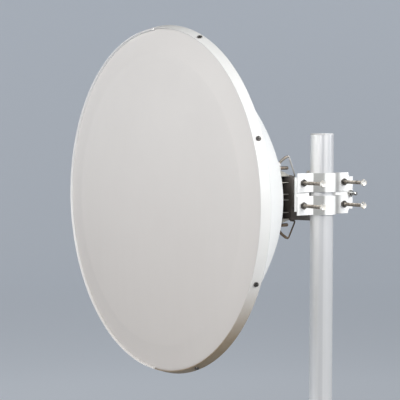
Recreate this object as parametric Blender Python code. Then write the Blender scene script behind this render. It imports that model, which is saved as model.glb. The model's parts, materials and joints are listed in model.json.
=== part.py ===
"""Microwave dish antenna clamped to a round mast.

Metres. +Z is up and the origin is the middle of the mast's foot. The dish looks along -Y,
and its axis lies to the -X side of the mast.
"""

import math

import bmesh
import bpy
from mathutils import Matrix, Vector

# Driving dimensions.
seat_gap = 0.0003
round_steps = 96
dish_radius = 0.450
dish_side_offset = 0.176
dish_front_offset = 0.430
axis_height = 1.500

mast_radius = 0.03175
mast_wall = 0.0030
mast_height = 1.676
cap_thickness = 0.004

sheet = 0.0040
jaw_half_length = 0.092
jaw_height = 0.0517
jaw_split = 0.0098
clamp_rise = 0.012
jaw_face = 0.0070
clamp_bolt_reach = 0.0734

bowl_depth = 0.314
bowl_radius = 0.430
bowl_wall = 0.0025
band_flare = 0.357
neck_radius = 0.075
plate_front = 0.343
plate_thickness = 0.006
plate_half = 0.098
frame_front = 0.412
frame_back = 0.435
hub_top = 0.061
hub_bottom = -0.067
lug_end = 0.500
screw_degrees = (65.2, 20.8, -23.3, -67.0, -112.5, -158.0, 156.5, 111.0)

azimuth_pivot_x = -0.056
elevation_pivot_y = 0.028

# Computed values.
clamp_height = axis_height + clamp_rise
jaw_centre = (jaw_split + jaw_height) / 2
jaw_reach = jaw_split / 2 + jaw_height
plate_back = plate_front + plate_thickness
dish_origin = Vector((-dish_side_offset, -dish_front_offset, axis_height))
azimuth_pivot = Vector((azimuth_pivot_x, 0.0, clamp_height))
elevation_pivot = Vector((-0.104, elevation_pivot_y, axis_height))


def in_dish(x, y, z):
    return dish_origin + Vector((x, y, z))


def frame(origin, along, across):
    """Matrix whose local Z runs along and whose local X runs across."""
    z_axis = Vector(along).normalized()
    x_axis = Vector(across).normalized()
    y_axis = z_axis.cross(x_axis)
    turn = Matrix((x_axis, y_axis, z_axis)).transposed().to_4x4()
    return Matrix.Translation(Vector(origin)) @ turn


def paint(name, colour, metallic, roughness):
    material = bpy.data.materials.new(name)
    material.use_nodes = True
    shader = material.node_tree.nodes["Principled BSDF"]
    shader.inputs["Base Color"].default_value = (*colour, 1.0)
    shader.inputs["Metallic"].default_value = metallic
    shader.inputs["Roughness"].default_value = roughness
    return material


def solid(name, points, faces, material, crease=32.0):
    """One closed body with outward faces."""
    mesh = bpy.data.meshes.new(name)
    mesh.from_pydata([tuple(point) for point in points], [], faces)
    work = bmesh.new()
    work.from_mesh(mesh)
    bmesh.ops.recalc_face_normals(work, faces=work.faces)
    work.to_mesh(mesh)
    work.free()
    mesh.shade_smooth()
    mesh.set_sharp_from_angle(angle=math.radians(crease))
    if material:
        mesh.materials.append(material)
    result = bpy.data.objects.new(name, mesh)
    bpy.context.scene.collection.objects.link(result)
    return result


def lathe(outline, steps, place):
    """Closed outline of (radius, along) turned about the local Z axis."""
    points = []
    columns = []
    for radius, along in outline:
        start = len(points)
        if radius < 1e-7:
            points.append(place @ Vector((0.0, 0.0, along)))
            columns.append([start] * steps)
            continue
        for step in range(steps):
            angle = 2 * math.pi * step / steps
            points.append(place @ Vector((radius * math.cos(angle), radius * math.sin(angle), along)))
        columns.append(list(range(start, start + steps)))
    faces = []
    for here, there in zip(columns, columns[1:] + columns[:1]):
        if here[0] == here[-1] and there[0] == there[-1]:
            continue
        for step in range(steps):
            following = (step + 1) % steps
            corners = [here[step], here[following], there[following], there[step]]
            faces.append(tuple(dict.fromkeys(corners)))
    return points, faces


def arc(outline, start, end, steps, place):
    """Closed outline of (radius, along) turned part of the way round, with flat ends."""
    count = len(outline)
    points = []
    for step in range(steps + 1):
        angle = start + (end - start) * step / steps
        for radius, along in outline:
            points.append(place @ Vector((radius * math.cos(angle), radius * math.sin(angle), along)))
    faces = [tuple(range(count)), tuple(range(steps * count, (steps + 1) * count))]
    for step in range(steps):
        here = step * count
        there = here + count
        for index in range(count):
            following = (index + 1) % count
            faces.append((here + index, here + following, there + following, there + index))
    return points, faces


def hex_radius(across_flats, angle):
    return across_flats / 2 / math.cos((angle % (math.pi / 3)) - math.pi / 6)


def turned(rings, place, sides=24, ring_shaped=False):
    """Rings of (size, along, is_hexagon) joined along the local Z axis."""
    points = []
    for size, along, is_hexagon in rings:
        for step in range(sides):
            angle = 2 * math.pi * step / sides
            radius = hex_radius(size, angle) if is_hexagon else size
            points.append(place @ Vector((radius * math.cos(angle), radius * math.sin(angle), along)))
    starts = [index * sides for index in range(len(rings))]
    pairs = list(zip(starts, starts[1:]))
    faces = []
    if ring_shaped:
        pairs.append((starts[-1], starts[0]))
    else:
        faces.append(tuple(range(sides)))
        faces.append(tuple(range(starts[-1], starts[-1] + sides)))
    for here, there in pairs:
        for step in range(sides):
            following = (step + 1) % sides
            faces.append((here + step, here + following, there + following, there + step))
    return points, faces


def prism(outline, low, high, place):
    """Outline of local (x, y) pulled from low to high along local Z."""
    count = len(outline)
    points = [place @ Vector((x, y, low)) for x, y in outline]
    points += [place @ Vector((x, y, high)) for x, y in outline]
    faces = [tuple(range(count)), tuple(range(count, 2 * count))]
    for index in range(count):
        following = (index + 1) % count
        faces.append((index, following, count + following, count + index))
    return points, faces


def rod(path, radii, sides=12):
    """Round bar through the path points, with its radius given at each."""
    points = []
    for index, point in enumerate(path):
        before = path[max(index - 1, 0)]
        after = path[min(index + 1, len(path) - 1)]
        forward = (after - before).normalized()
        side = forward.cross(Vector((0.0, 1.0, 0.0))).normalized()
        upward = side.cross(forward)
        for step in range(sides):
            angle = 2 * math.pi * step / sides
            points.append(point + radii[index] * (math.cos(angle) * side + math.sin(angle) * upward))
    count = len(path)
    faces = [tuple(range(sides)), tuple(range((count - 1) * sides, count * sides))]
    for index in range(count - 1):
        for step in range(sides):
            following = (step + 1) % sides
            here = index * sides
            there = here + sides
            faces.append((here + step, here + following, there + following, there + step))
    return points, faces


def together(shapes):
    points = []
    faces = []
    for shape_points, shape_faces in shapes:
        start = len(points)
        points += shape_points
        faces += [tuple(start + index for index in face) for face in shape_faces]
    return points, faces


def cut(target, name, shapes, operation="DIFFERENCE"):
    """Takes the shapes, which do not touch each other, out of the target or joins them to it."""
    cutter = solid(name, *together(shapes), None)
    cutter.hide_render = True
    cutter.display_type = "WIRE"
    change = target.modifiers.new(name, "BOOLEAN")
    change.operation = operation
    change.solver = "EXACT"
    change.object = cutter


def box(low, high):
    outline = [(low[0], low[1]), (high[0], low[1]), (high[0], high[1]), (low[0], high[1])]
    return prism(outline, low[2], high[2], Matrix.Identity(4))


def drill(radius, origin, direction, across, reach):
    rings = [(radius, -reach, False), (radius, reach, False)]
    return turned(rings, frame(origin, direction, across), sides=24)


def bolt(name, material, flats, head, shank_radius, length, place):
    """Hexagon head above the seat at local zero, shank below it."""
    rings = [
        (flats * 0.46, head, False),
        (flats, head * 0.86, True),
        (flats, 0.0, True),
        (shank_radius, 0.0, False),
        (shank_radius, -length + 0.001, False),
        (shank_radius - 0.001, -length, False),
    ]
    return solid(name, *turned(rings, place), material)


def nut(name, material, flats, thickness, shank_radius, place):
    hole = shank_radius + seat_gap
    rings = [
        (hole, 0.0, False),
        (flats, 0.0, True),
        (flats, thickness, True),
        (hole, thickness, False),
    ]
    return solid(name, *turned(rings, place, ring_shaped=True), material)


def slope(distance, tilt, x):
    """Y of a wall that stays at a distance from the mast's axis."""
    return (distance - abs(x) * math.cos(tilt)) / math.sin(tilt)


def bend(before, corner, after, radius, steps):
    """Points of the arc that rounds a corner of an outline."""
    corner = Vector(corner)
    back = (Vector(before) - corner).normalized()
    ahead = (Vector(after) - corner).normalized()
    half = back.angle(ahead) / 2
    centre = corner + (back + ahead).normalized() * (radius / math.sin(half))
    start = corner + back * (radius / math.tan(half)) - centre
    end = corner + ahead * (radius / math.tan(half)) - centre
    points = []
    for step in range(steps + 1):
        spoke = start.lerp(end, step / steps)
        points.append(tuple(centre + spoke.normalized() * radius))
    return points


def hold(pieces, joint):
    for piece in pieces:
        piece.parent = joint
        piece.matrix_parent_inverse = Matrix.Translation(-joint.location)


def pivot_marker(name, location):
    marker = bpy.data.objects.new(name, None)
    marker.location = location
    marker.empty_display_size = 0.05
    bpy.context.scene.collection.objects.link(marker)
    return marker


for old in list(bpy.data.objects):
    bpy.data.objects.remove(old, do_unlink=True)

galvanised = paint("galvanised_steel", (0.62, 0.64, 0.66), 0.7, 0.45)
cap_plastic = paint("cap_plastic", (0.55, 0.56, 0.57), 0.0, 0.55)
white_steel = paint("white_painted_steel", (0.88, 0.88, 0.87), 0.0, 0.40)
bolt_steel = paint("bolt_steel", (0.45, 0.43, 0.38), 0.9, 0.35)
dark_paint = paint("dark_cast_paint", (0.07, 0.065, 0.055), 0.0, 0.55)
plate_paint = paint("plate_paint", (0.85, 0.85, 0.84), 0.0, 0.42)
bowl_paint = paint("reflector_paint", (0.85, 0.85, 0.84), 0.0, 0.42)
band_paint = paint("rim_band_paint", (0.80, 0.79, 0.77), 0.0, 0.40)
radome_plastic = paint("radome_plastic", (0.64, 0.63, 0.60), 0.0, 0.60)
screw_steel = paint("rim_screw_steel", (0.22, 0.21, 0.20), 0.9, 0.40)
spring_wire = paint("latch_wire_steel", (0.60, 0.60, 0.60), 1.0, 0.30)

upright = Matrix.Identity(4)
at_clamp = Matrix.Translation((0.0, 0.0, clamp_height))
dish_axis = frame(dish_origin, (0.0, 1.0, 0.0), (1.0, 0.0, 0.0))

# Mast: a tube closed at its foot, with a plug cap.
tube_top = mast_height - cap_thickness
inner_radius = mast_radius - mast_wall
mast_outline = [
    (0.0, 0.0),
    (mast_radius, 0.0),
    (mast_radius, tube_top),
    (inner_radius, tube_top),
    (inner_radius, 0.004),
    (0.0, 0.004),
]
solid("mast_tube", *lathe(mast_outline, 48, upright), galvanised)

plug_radius = inner_radius - seat_gap
cap_low = tube_top + seat_gap
cap_outline = [
    (0.0, tube_top - 0.016),
    (plug_radius, tube_top - 0.016),
    (plug_radius, cap_low),
    (mast_radius, cap_low),
    (mast_radius, mast_height - 0.0012),
    (mast_radius - 0.0012, mast_height),
    (0.0, mast_height),
]
solid("mast_cap", *lathe(cap_outline, 48, upright), cap_plastic)

# Outer jaws: hats of bent plate that grip the mast from the +X side. The foot of the right wall
# is a wide bend and the other bends are tight.
jaw_tilt = math.radians(60)
near = mast_radius + seat_gap
far = near + sheet
jaw_back = jaw_face - sheet
jaw_bend = 0.028
front_top = (far, slope(far, jaw_tilt, far))
front_foot = (jaw_face, slope(far, jaw_tilt, jaw_face))
front_end = (jaw_face, jaw_half_length)
back_end = (jaw_back, jaw_half_length)
back_foot = (jaw_back, slope(near, jaw_tilt, jaw_back))
back_top = (near, slope(near, jaw_tilt, near))
jaw_outline = [
    (jaw_face, -jaw_half_length),
    (jaw_face, -front_foot[1]),
    (far, -front_top[1]),
    front_top,
    *bend(front_top, front_foot, front_end, jaw_bend, 5),
    front_end,
    back_end,
    *bend(back_end, back_foot, back_top, jaw_bend + sheet, 5),
    back_top,
    (near, -back_top[1]),
    (jaw_back, -back_foot[1]),
    (jaw_back, -jaw_half_length),
]
hole_radius = 0.0053
along_x = (1.0, 0.0, 0.0)
along_y = (0.0, 1.0, 0.0)
along_z = (0.0, 0.0, 1.0)
for side, name in ((1, "clamp_jaw_upper"), (-1, "clamp_jaw_lower")):
    middle = side * jaw_centre
    shape = prism(jaw_outline, middle - jaw_height / 2, middle + jaw_height / 2, at_clamp)
    jaw = solid(name, *shape, white_steel)
    holes = []
    for end in (-1, 1):
        place = (jaw_face, end * clamp_bolt_reach, clamp_height + middle)
        holes.append(drill(hole_radius, place, along_x, along_z, 0.02))
    cut(jaw, name + "_holes", holes)

# Inner bracket: a vee plate with tongues, and two ears for the azimuth pivot.
vee_tilt = math.radians(45)
tab_front = jaw_back - seat_gap
tab_back = tab_front - sheet
left_end = -0.097
right_end = 0.112
ear_end = azimuth_pivot_x - 0.013
vee_front = (near + tab_front * math.cos(vee_tilt)) / math.sin(vee_tilt)
bracket_outline = [
    (tab_front, left_end),
    (tab_front, -vee_front),
    (-near, -slope(near, vee_tilt, near)),
    (-near, slope(near, vee_tilt, near)),
    (tab_front, vee_front),
    (tab_front, right_end),
    (tab_back, right_end),
    (tab_back, slope(far, vee_tilt, tab_back)),
    (-far, slope(far, vee_tilt, far)),
    (ear_end + 0.007, 0.014),
    (ear_end, 0.007),
    (ear_end, -0.007),
    (ear_end + 0.007, -0.014),
    (-far, -slope(far, vee_tilt, far)),
    (tab_back, -slope(far, vee_tilt, tab_back)),
    (tab_back, left_end),
]
bracket_shape = prism(bracket_outline, -jaw_reach, jaw_reach, at_clamp)
clamp_bracket = solid("clamp_bracket", *bracket_shape, white_steel)
ear_outside = 0.0460
ear_inside = ear_outside - 0.0055
right_tongue_half = 0.0445
left_tongue_half = 0.0462
corner_cuts = []
for low, high in ((-0.070, -ear_outside), (-ear_inside, ear_inside), (ear_outside, 0.070)):
    corner_cuts.append(box(
        (ear_end - 0.01, -0.018, clamp_height + low),
        (-far, 0.018, clamp_height + high),
    ))
across_x = frame((0.0, 0.0, clamp_height), along_x, along_y)
left_notch = -jaw_half_length + 0.010
left_corner = [
    (left_notch, 0.070),
    (left_notch, left_tongue_half),
    (left_end - 0.01, left_tongue_half),
    (left_end - 0.01, 0.070),
]
right_corner = [
    (jaw_half_length, 0.070),
    (jaw_half_length, jaw_reach),
    (0.100, right_tongue_half),
    (right_end + 0.01, right_tongue_half),
    (right_end + 0.01, 0.070),
]
for side in (-1, 1):
    for outline in (left_corner, right_corner):
        corner = [(y, side * z) for y, z in outline]
        corner_cuts.append(prism(corner, -0.02, 0.02, across_x))
cut(clamp_bracket, "clamp_bracket_corners", corner_cuts)

tongue_bolt_y = 0.101
tongue_bolt_z = clamp_height - 0.002
bracket_holes = [drill(hole_radius, (tab_back, tongue_bolt_y, tongue_bolt_z), along_x, along_z, 0.02)]
for end in (-1, 1):
    for side in (-1, 1):
        place = (tab_back, end * clamp_bolt_reach, clamp_height + side * jaw_centre)
        bracket_holes.append(drill(hole_radius, place, along_x, along_z, 0.02))
for side in (-1, 1):
    place = azimuth_pivot + Vector((0.0, 0.0, side * (ear_outside - 0.003)))
    bracket_holes.append(drill(hole_radius, place, along_z, along_x, 0.008))
cut(clamp_bracket, "clamp_bracket_holes", bracket_holes)

# Long clamp bolts with their heads outward, and the nuts that seat on the jaws.
bolt_flats = 0.017
bolt_head = 0.0064
bolt_head_seat = 0.0834
bolt_length = bolt_head_seat + 0.012
number = 0
for end in (-1, 1):
    for side in (1, -1):
        number += 1
        y = end * clamp_bolt_reach
        z = clamp_height + side * jaw_centre
        place = frame((bolt_head_seat, y, z), along_x, along_z)
        bolt(f"clamp_bolt_{number}", bolt_steel, bolt_flats, bolt_head, 0.005, bolt_length, place)
        place = frame((jaw_face + seat_gap, y, z), along_x, along_z)
        nut(f"clamp_nut_{number}", bolt_steel, bolt_flats, 0.008, 0.005, place)

place = frame((tab_back - seat_gap, tongue_bolt_y, tongue_bolt_z), (-1.0, 0.0, 0.0), along_z)
bolt("tongue_bolt", bolt_steel, bolt_flats, bolt_head, 0.005, 0.0325, place)
place = frame((tab_front + seat_gap, tongue_bolt_y, tongue_bolt_z), along_x, along_z)
nut("tongue_nut", bolt_steel, bolt_flats, 0.008, 0.005, place)

pivot_length = 2 * ear_outside + 0.0160
place = frame(azimuth_pivot - Vector((0.0, 0.0, ear_outside + seat_gap)), (0.0, 0.0, -1.0), along_x)
bolt("azimuth_pivot_bolt", bolt_steel, bolt_flats, bolt_head, 0.005, pivot_length, place)
place = frame(azimuth_pivot + Vector((0.0, 0.0, ear_outside + seat_gap)), along_z, along_x)
nut("azimuth_pivot_nut", bolt_steel, bolt_flats, 0.008, 0.005, place)

# Yoke: turns between the bracket's ears and carries the elevation pivot.
yoke_front = -0.095
yoke_back = yoke_front - 0.006
yoke_half = ear_inside - seat_gap
yoke_outline = [
    (yoke_back, -0.024),
    (yoke_front, -0.024),
    (yoke_front, -0.020),
    (azimuth_pivot_x - 0.006, -0.014),
    (azimuth_pivot_x + 0.011, -0.006),
    (azimuth_pivot_x + 0.011, 0.006),
    (azimuth_pivot_x - 0.006, 0.014),
    (yoke_front, 0.020),
    (yoke_front, 0.046),
    (yoke_back, 0.046),
]
yoke = solid("azimuth_yoke", *prism(yoke_outline, -yoke_half, yoke_half, at_clamp), dark_paint)
inside_yoke = box(
    (yoke_front, -0.0205, clamp_height - yoke_half + 0.005),
    (-0.030, 0.0205, clamp_height + yoke_half - 0.005),
)
cut(yoke, "azimuth_yoke_inside", [inside_yoke])
yoke_holes = [drill(hole_radius, (yoke_front, elevation_pivot_y, axis_height), along_x, along_z, 0.02)]
for side in (-1, 1):
    place = azimuth_pivot + Vector((0.0, 0.0, side * yoke_half))
    yoke_holes.append(drill(hole_radius, place, along_z, along_x, 0.008))
cut(yoke, "azimuth_yoke_holes", yoke_holes)

lug_face = 0.069
lug_back = lug_face - 0.006
lug_x = lug_face - dish_side_offset
place = frame((yoke_front + seat_gap, elevation_pivot_y, axis_height), along_x, along_z)
elevation_bolt = bolt("elevation_pivot_bolt", bolt_steel, bolt_flats, bolt_head, 0.005, 0.0295, place)
place = frame((lug_x - 0.006 - seat_gap, elevation_pivot_y, axis_height), (-1.0, 0.0, 0.0), along_z)
elevation_nut = nut("elevation_pivot_nut", bolt_steel, bolt_flats, 0.008, 0.005, place)
spacer_length = yoke_back - lug_x - 2 * seat_gap
spacer_rings = [
    (hole_radius, 0.0, False),
    (0.0095, 0.0, False),
    (0.0095, spacer_length, False),
    (hole_radius, spacer_length, False),
]
place = frame((lug_x + seat_gap, elevation_pivot_y, axis_height), along_x, along_z)
spacer = solid("elevation_spacer", *turned(spacer_rings, place, ring_shaped=True), bolt_steel)

# Hub: a frame with the elevation lug, and a finned neck in front of it.
frame_outline = [
    (-0.060, frame_front),
    (lug_face, frame_front),
    (lug_face, lug_end),
    (lug_back, lug_end),
    (lug_back, frame_back),
    (-0.060, frame_back),
]
dish_upright = Matrix.Translation(dish_origin)
lug_bottom = hub_bottom - 0.0055
frame_shape = prism(frame_outline, lug_bottom, hub_top, dish_upright)
hub_frame = solid("hub_frame", *frame_shape, dark_paint)
sideways = frame(dish_origin, along_x, along_y)
top_front = hub_top - 0.001
top_back = hub_top - 0.0105
above_frame = [
    (frame_front - 0.01, hub_top + 0.02),
    (frame_front - 0.01, top_front),
    (frame_front, top_front),
    (frame_back, top_back),
    (lug_end + 0.01, top_back),
    (lug_end + 0.01, hub_top + 0.02),
]
below_frame = [
    (frame_front - 0.01, lug_bottom - 0.02),
    (frame_front - 0.01, hub_bottom),
    (frame_back, hub_bottom),
    (lug_end + 0.01, lug_bottom),
    (lug_end + 0.01, lug_bottom - 0.02),
]
frame_slopes = [prism(shape, -0.08, 0.08, sideways) for shape in (above_frame, below_frame)]
cut(hub_frame, "hub_frame_slopes", frame_slopes)
lug_hole = drill(hole_radius, (lug_x, elevation_pivot_y, axis_height), along_x, along_z, 0.02)
cut(hub_frame, "hub_frame_hole", [lug_hole])

fin_heights = (-0.045, -0.010, 0.006, 0.039)
fin_half = 0.00125
fin_reach = 0.058
core_reach = 0.036
cheek_reach = 0.060
cheek_thickness = 0.0045
right_side = [
    (cheek_reach, hub_bottom),
    (cheek_reach, hub_bottom + cheek_thickness),
    (core_reach, hub_bottom + cheek_thickness),
]
for height in fin_heights:
    right_side += [
        (core_reach, height - fin_half),
        (fin_reach, height - fin_half),
        (fin_reach, height + fin_half),
        (core_reach, height + fin_half),
    ]
right_side += [
    (core_reach, hub_top - cheek_thickness),
    (cheek_reach, hub_top - cheek_thickness),
    (cheek_reach, hub_top),
]
fin_outline = right_side + [(-x, z) for x, z in reversed(right_side)]
fins = frame(dish_origin, (0.0, -1.0, 0.0), along_x)
neck_front = plate_back + seat_gap
neck_back = frame_front - seat_gap
hub_neck = solid("hub_neck", *prism(fin_outline, -neck_back, -neck_front, fins), dark_paint)

# The neck flares out above and below where it meets the plate.
flare_curve = [
    (neck_front, 0.0310),
    (0.362, 0.0235),
    (0.374, 0.0165),
    (0.386, 0.0105),
    (0.397, 0.0056),
    (0.409, 0.0),
]
flare_root = 0.002
flare_half = cheek_reach - 0.0005
flares = []
for edge, side, share in ((hub_top, 1, 1.0), (hub_bottom, -1, 0.7)):
    flare_outline = [(neck_front, edge - side * flare_root)]
    flare_outline += [(y, edge + side * share * rise) for y, rise in flare_curve]
    flare_outline += [(flare_curve[-1][0], edge - side * flare_root)]
    flares.append(prism(flare_outline, -flare_half, flare_half, sideways))
cut(hub_neck, "hub_neck_flares", flares, "UNION")

# Mounting plate with its guide pegs.
clip = 0.006
reach = plate_half
plate_outline = [
    (reach - clip, -reach), (reach, -reach + clip), (reach, reach - clip), (reach - clip, reach),
    (-reach + clip, reach), (-reach, reach - clip), (-reach, -reach + clip), (-reach + clip, -reach),
]
plate = solid("mounting_plate", *prism(plate_outline, -plate_back, -plate_front, fins), plate_paint)

dish_pieces = [hub_frame, hub_neck, plate]
peg_reach = 0.078
peg_rises = {1: 0.0805, -1: -0.078}
peg_radius = 0.0048
peg_tip = 0.391
number = 0
for side in (1, -1):
    for rise in (1, -1):
        number += 1
        root = in_dish(side * peg_reach, plate_back + seat_gap, peg_rises[rise])
        place = frame(root, along_y, along_x)
        length = peg_tip - plate_back - seat_gap
        rings = [
            (peg_radius, 0.0, False),
            (peg_radius, length - 0.0015, False),
            (peg_radius - 0.0015, length, False),
        ]
        dish_pieces.append(solid(f"guide_peg_{number}", *turned(rings, place, sides=16), bolt_steel))

# Latches: a thick lever at each corner of the plate and a thin wire back to the frame.
wire_radius = 0.0022
lever_radius = 0.0038
hook_y = 0.4285
number = 0
for side, hook_x in ((1, 0.067), (-1, 0.058)):
    for rise in (1, -1):
        number += 1
        if rise > 0:
            share = (hook_y - frame_front) / (frame_back - frame_front)
            edge = top_front + (top_back - top_front) * share + 0.0003
        else:
            edge = -hub_bottom
        rest = edge + wire_radius + seat_gap
        lever_y = plate_back + lever_radius + seat_gap
        apex_rise = 0.1135 if rise > 0 else 0.1115
        path = [
            in_dish(side * 0.0885, lever_y, rise * (apex_rise - 0.0185)),
            in_dish(side * 0.0970, lever_y + 0.0010, rise * (apex_rise - 0.0105)),
            in_dish(side * 0.1100, 0.3585, rise * (apex_rise - 0.0020)),
            in_dish(side * 0.1140, 0.3630, rise * apex_rise),
            in_dish(side * 0.1120, 0.3670, rise * (apex_rise - 0.0020)),
            in_dish(side * (hook_x + 0.004), 0.4225, rise * (rest + 0.0045)),
            in_dish(side * (hook_x - 0.001), 0.4270, rise * (rest + 0.0006)),
            in_dish(side * (hook_x - 0.006), hook_y, rise * rest),
            in_dish(side * (hook_x - 0.020), hook_y, rise * rest),
        ]
        radii = [lever_radius, lever_radius, lever_radius, 0.0028] + [wire_radius] * 5
        dish_pieces.append(solid(f"latch_{number}", *rod(path, radii), spring_wire))

# Reflector: a spun bowl with a flat rim and a short neck.
def bowl_back(radius):
    return 0.024 + bowl_depth * (1 - (radius / bowl_radius) ** 2)


def bowl_front(radius):
    """Point under the wall, square to the back face."""
    steepness = 2 * bowl_depth * radius / bowl_radius ** 2
    length = math.hypot(steepness, 1.0)
    return radius - bowl_wall * steepness / length, bowl_back(radius) - bowl_wall / length


bowl_steps = 12
radii = [0.4285 + (neck_radius - 0.4285) * step / bowl_steps for step in range(bowl_steps + 1)]
flange_front = 0.0198
flange_back = 0.0224
neck_end = plate_front - seat_gap
bowl_outline = [(0.4540, flange_front), (0.4540, flange_back), (0.4325, flange_back)]
bowl_outline += [(radius, bowl_back(radius)) for radius in radii]
bowl_outline += [
    (neck_radius, neck_end),
    (0.040, neck_end),
    (0.040, neck_end - bowl_wall),
    (neck_radius - bowl_wall, neck_end - bowl_wall),
]
bowl_outline += [(neck_radius - bowl_wall, bowl_front(neck_radius)[1])]
bowl_outline += [bowl_front(radius) for radius in reversed(radii[:-1])]
bowl_outline += [(0.4300, flange_front)]
dish_pieces.append(solid("reflector_bowl", *lathe(bowl_outline, round_steps, dish_axis), bowl_paint))

# Rim band, flared towards the back, with a lip behind the bowl's rim. It is two halves that
# meet at the top and the bottom. The far half's front edge stands a little prouder and is
# folded in over the radome's edge.
seam = math.atan2(seat_gap / 2, dish_radius)
far_fold = [(0.44875, 0.0022), (0.4440, 0.0010)]
bands = []
for name, front, start, fold in (
    ("rim_band_near", -0.0010, -90.0, []),
    ("rim_band_far", -0.0050, 90.0, far_fold),
):
    front_radius = dish_radius + front * band_flare
    band_outline = [
        (front_radius, front),
        (0.4577, 0.0215),
        (0.4572, 0.0235),
        (0.4552, 0.0248),
        (0.4440, 0.0248),
        (0.4440, 0.0228),
        (0.4545, 0.0228),
        (0.4555, 0.0213),
        *fold,
        (front_radius - 0.0020, front),
    ]
    # The dish axis points away, so the angle is counted the other way round.
    turn_start = math.radians(-start - 180.0) + seam
    turn_end = math.radians(-start) - seam
    shape = arc(band_outline, turn_start, turn_end, round_steps // 2, dish_axis)
    bands.append(solid(name, *shape, band_paint))

# Radome: a shallow dome with a sloped outer ring and a skirt under the band.
radome_outline = [
    (0.0, -0.0160),
    (0.120, -0.0150),
    (0.240, -0.0120),
    (0.330, -0.0086),
    (0.380, -0.0062),
    (0.388, -0.0050),
    (0.440, 0.0006),
    (0.4487, 0.0030),
    (0.4545, 0.0194),
    (0.4519, 0.0194),
    (0.4466, 0.0050),
    (0.440, 0.0032),
    (0.388, -0.0024),
    (0.380, -0.0036),
    (0.330, -0.0060),
    (0.240, -0.0094),
    (0.120, -0.0124),
    (0.0, -0.0134),
]
radome = solid("radome", *lathe(radome_outline, round_steps, dish_axis), radome_plastic)

# Rim screws, square to the flared band.
flare = math.atan(band_flare)
screw_along = 0.0110
screw_radius = 0.0029
screw_hole = 0.0032
screw_reach = dish_radius + screw_along * band_flare
number = 0
radome_holes = []
band_holes = {"near": [], "far": []}
for degrees in screw_degrees:
    number += 1
    angle = math.radians(degrees)
    outward = Vector((math.cos(angle), 0.0, math.sin(angle)))
    direction = outward * math.cos(flare) + Vector((0.0, -math.sin(flare), 0.0))
    across = Vector((-math.sin(angle), 0.0, math.cos(angle)))
    seat = dish_origin + outward * screw_reach + Vector((0.0, screw_along, 0.0))
    place = frame(seat + direction * seat_gap, direction, across)
    rings = [
        (0.0042, 0.0036, False),
        (0.0058, 0.0026, False),
        (0.0062, 0.0, False),
        (screw_radius, 0.0, False),
        (screw_radius, -0.0080, False),
    ]
    dish_pieces.append(solid(f"rim_screw_{number}", *turned(rings, place, sides=16), screw_steel))
    half = "near" if math.cos(angle) > 0 else "far"
    band_holes[half].append(drill(screw_hole, seat - direction * 0.001, direction, across, 0.0030))
    radome_holes.append(drill(screw_hole, seat - direction * 0.004, direction, across, 0.0045))
for half, band in zip(band_holes, bands):
    cut(band, f"rim_band_{half}_holes", band_holes[half])
cut(radome, "radome_holes", radome_holes)
dish_pieces += bands + [radome]

azimuth_joint = pivot_marker("azimuth_joint", azimuth_pivot)
elevation_joint = pivot_marker("elevation_joint", elevation_pivot)
hold([yoke, elevation_bolt, elevation_nut, spacer], azimuth_joint)
hold(dish_pieces, elevation_joint)
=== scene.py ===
import json
import math

import bmesh
import bpy
from mathutils import Matrix, Vector

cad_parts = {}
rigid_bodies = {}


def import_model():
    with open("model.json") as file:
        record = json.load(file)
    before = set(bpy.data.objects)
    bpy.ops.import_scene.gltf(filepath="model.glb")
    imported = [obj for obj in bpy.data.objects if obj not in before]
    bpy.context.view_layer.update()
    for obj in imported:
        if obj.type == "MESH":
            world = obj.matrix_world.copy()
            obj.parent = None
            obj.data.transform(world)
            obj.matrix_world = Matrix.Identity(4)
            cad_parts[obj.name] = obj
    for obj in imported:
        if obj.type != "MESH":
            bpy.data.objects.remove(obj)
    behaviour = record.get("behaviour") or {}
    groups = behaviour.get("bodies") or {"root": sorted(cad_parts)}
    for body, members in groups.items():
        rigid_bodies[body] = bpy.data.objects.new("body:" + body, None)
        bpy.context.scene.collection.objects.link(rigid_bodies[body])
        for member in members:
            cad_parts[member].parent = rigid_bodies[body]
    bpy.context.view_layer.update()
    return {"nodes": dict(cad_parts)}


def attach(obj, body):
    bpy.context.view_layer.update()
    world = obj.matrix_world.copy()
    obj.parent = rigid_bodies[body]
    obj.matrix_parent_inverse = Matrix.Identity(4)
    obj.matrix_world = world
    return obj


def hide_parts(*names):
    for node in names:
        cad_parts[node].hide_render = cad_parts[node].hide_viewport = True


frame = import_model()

for item in list(bpy.context.scene.objects):  # the start-up lamp would cast a second shadow
    if item.type in {"LIGHT", "CAMERA"}:
        bpy.data.objects.remove(item)
print("frame loaded")

alongX = Vector((1.0, 0.0, 0.0))
alongY = Vector((0.0, 1.0, 0.0))
alongZ = Vector((0.0, 0.0, 1.0))
axisHeight = 1.500
clampHeight = 1.512
gap = 0.0003  # between pieces that touch
mergeDistance = 0.000002
dishCentre = Vector((-0.176, -0.430, axisHeight))
dishPlace = Matrix.Translation(dishCentre) @ Matrix.Rotation(math.radians(-90), 4, "X")  # local Z looks back


def facing(origin, along, across):  # local Z runs along, local X across
    up = Vector(along).normalized()
    side = Vector(across).normalized()
    turn = Matrix((side, up.cross(side), up)).transposed().to_4x4()
    return Matrix.Translation(Vector(origin)) @ turn


def inDish(x, y, z):  # a point given from the middle of the rim
    return dishCentre + Vector((x, y, z))


# Shader sockets that Python can add and multiply

class Flow:
    def __init__(self, recipe, socket):
        self.recipe = recipe
        self.socket = socket

    def maths(self, operation, first, second):
        return self.recipe.add("ShaderNodeMath", {"operation": operation}, {0: first, 1: second})

    def __add__(self, other):
        return self.maths("ADD", self, other)

    def __sub__(self, other):
        return self.maths("SUBTRACT", self, other)

    def __rsub__(self, other):
        return self.maths("SUBTRACT", other, self)

    def __mul__(self, other):
        return self.maths("MULTIPLY", self, other)

    __radd__ = __add__
    __rmul__ = __mul__


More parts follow.
